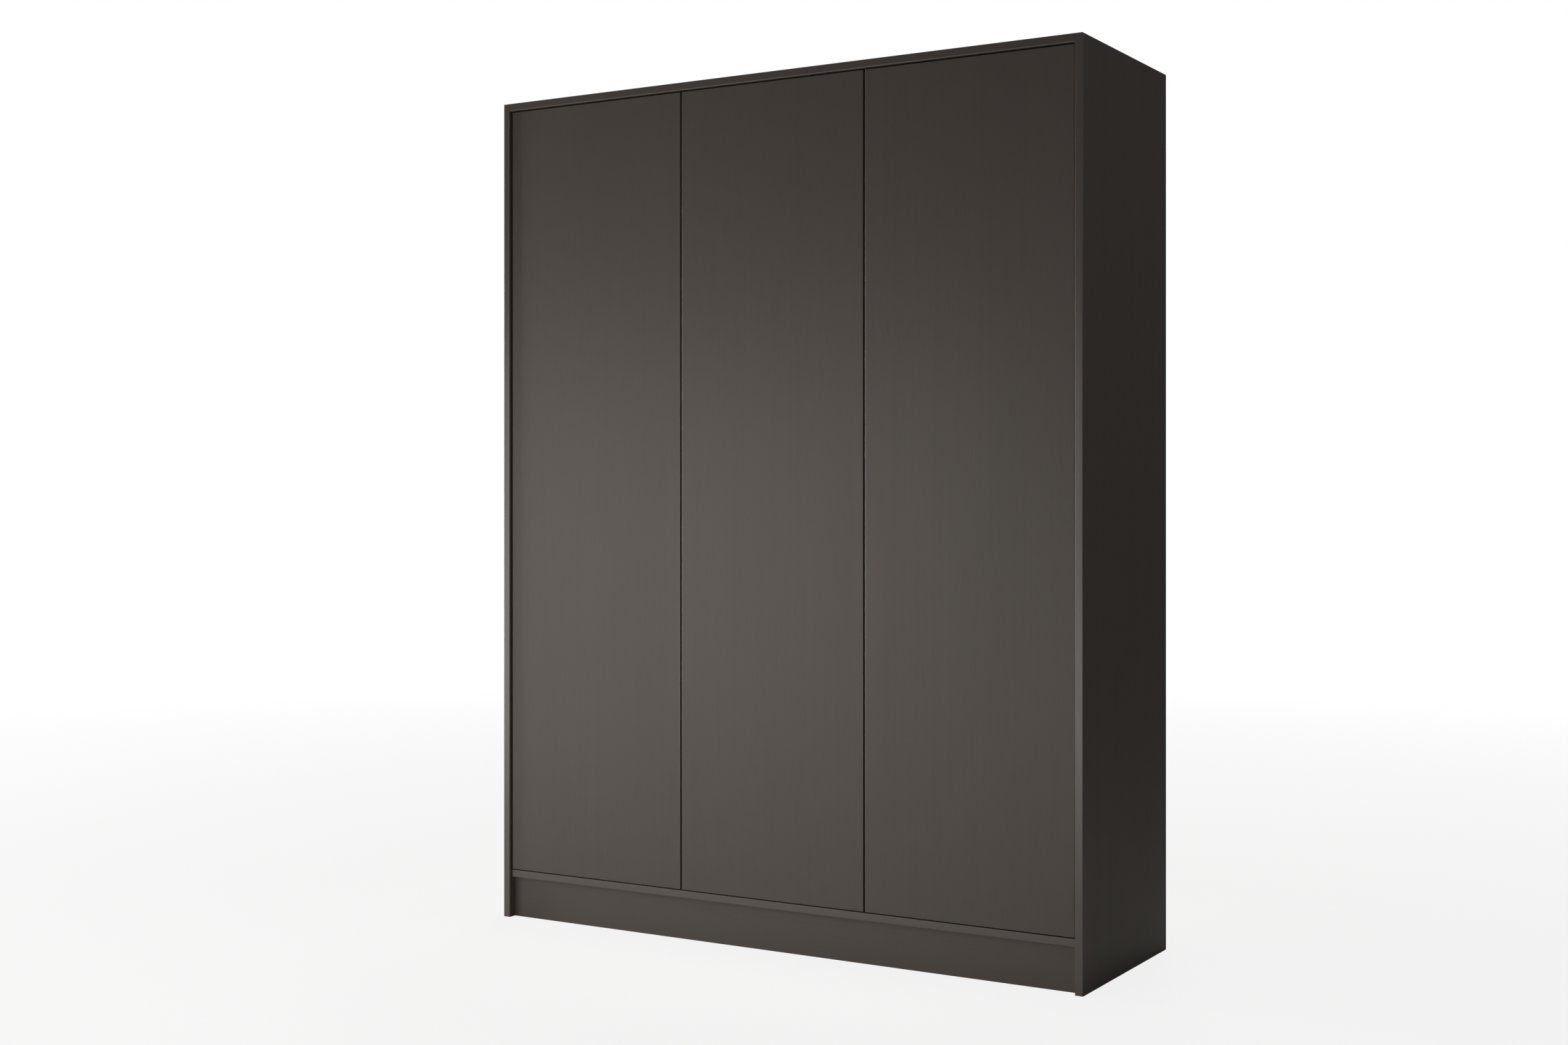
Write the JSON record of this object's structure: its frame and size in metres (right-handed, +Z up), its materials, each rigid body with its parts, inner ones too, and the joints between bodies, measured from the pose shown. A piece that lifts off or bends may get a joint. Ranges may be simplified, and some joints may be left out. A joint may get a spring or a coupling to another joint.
{
  "type": "wardrobe",
  "caption": "Free-standing wardrobe with flat inset doors without handles, a recessed plinth, a hanging bay and a bay of shelves.",
  "frame": {"origin": "on the floor, at the middle of the bounding box's bottom face", "axes": "+Z up, +Y from the doors to the back, +X to the right as seen from the front"},
  "size_m": [1.52, 0.5, 2],
  "materials": {
    "door_decor": "matte dark laminate with a faint upright grain",
    "carcass_decor": "matte dark laminate with a faint grain",
    "back_sheet": "dark printed hardboard, raw brown outside",
    "fitting_steel": "nickel-plated",
    "rail_chrome": "bright",
    "grey_plastic": "matte",
    "dark_plastic": "matte"
  },
  "bodies": {
    "carcass": {"left_side_panel": "carcass_decor", "right_side_panel": "carcass_decor", "top_panel": "carcass_decor", "bottom_panel": "carcass_decor", "divider_panel": "carcass_decor", "plinth_front": "carcass_decor", "plinth_rear": "carcass_decor", "plinth_support": "carcass_decor", "back_panel_left": "back_sheet", "back_panel_middle": "back_sheet", "back_panel_right": "back_sheet", "back_joining_strip": "dark_plastic", "hat_shelf": "carcass_decor", "shelf_1": "carcass_decor", "shelf_2": "carcass_decor", "shelf_3": "carcass_decor", "shelf_4": "carcass_decor", "hanging_rail": "rail_chrome", "rail_socket_left": "fitting_steel", "rail_socket_right": "fitting_steel", "rail_centre_bracket": "fitting_steel", "wall_bracket_left": "fitting_steel", "wall_bracket_right": "fitting_steel", "hinge_arm_left_1": "fitting_steel", "hinge_arm_left_2": "fitting_steel", "hinge_arm_left_3": "fitting_steel", "hinge_arm_left_4": "fitting_steel", "latch_housing_left": "grey_plastic", "hinge_arm_middle_1": "fitting_steel", "hinge_arm_middle_2": "fitting_steel", "hinge_arm_middle_3": "fitting_steel", "hinge_arm_middle_4": "fitting_steel", "latch_housing_middle": "grey_plastic", "hinge_arm_right_1": "fitting_steel", "hinge_arm_right_2": "fitting_steel", "hinge_arm_right_3": "fitting_steel", "hinge_arm_right_4": "fitting_steel", "latch_housing_right": "grey_plastic"},
    "left_door": {"door_left": "door_decor", "hinge_cup_left_1": "fitting_steel", "hinge_cup_left_2": "fitting_steel", "hinge_cup_left_3": "fitting_steel", "hinge_cup_left_4": "fitting_steel", "strike_plate_left": "fitting_steel"},
    "middle_door": {"door_middle": "door_decor", "hinge_cup_middle_1": "fitting_steel", "hinge_cup_middle_2": "fitting_steel", "hinge_cup_middle_3": "fitting_steel", "hinge_cup_middle_4": "fitting_steel", "strike_plate_middle": "fitting_steel"},
    "right_door": {"door_right": "door_decor", "hinge_cup_right_1": "fitting_steel", "hinge_cup_right_2": "fitting_steel", "hinge_cup_right_3": "fitting_steel", "hinge_cup_right_4": "fitting_steel", "strike_plate_right": "fitting_steel"},
    "left_plunger": {"latch_plunger_left": "dark_plastic"},
    "middle_plunger": {"latch_plunger_middle": "dark_plastic"},
    "right_plunger": {"latch_plunger_right": "dark_plastic"}
  },
  "joints": [
    {"name": "left_door_hinge", "type": "hinge", "parent": "carcass", "child": "left_door", "pos_m": [-0.719, -0.234, 1.04875], "axis": [0, 0, -1], "range_deg": [0, 100]},
    {"name": "middle_door_hinge", "type": "hinge", "parent": "carcass", "child": "middle_door", "pos_m": [0.22, -0.234, 1.04875], "axis": [0, 0, 1], "range_deg": [0, 100]},
    {"name": "right_door_hinge", "type": "hinge", "parent": "carcass", "child": "right_door", "pos_m": [0.719, -0.234, 1.04875], "axis": [0, 0, 1], "range_deg": [0, 100]},
    {"name": "left_plunger_slide", "type": "slide", "parent": "carcass", "child": "left_plunger", "axis": [0, -1, 0], "range_m": [0, 0.02]},
    {"name": "middle_plunger_slide", "type": "slide", "parent": "carcass", "child": "middle_plunger", "axis": [0, -1, 0], "range_m": [0, 0.02]},
    {"name": "right_plunger_slide", "type": "slide", "parent": "carcass", "child": "right_plunger", "axis": [0, -1, 0], "range_m": [0, 0.02]}
  ],
  "couplings": [
    {"joint": "left_plunger_slide", "follows": "left_door_hinge", "m_per_rad": 0.0114},
    {"joint": "middle_plunger_slide", "follows": "middle_door_hinge", "m_per_rad": 0.0114},
    {"joint": "right_plunger_slide", "follows": "right_door_hinge", "m_per_rad": 0.0114}
  ]
}
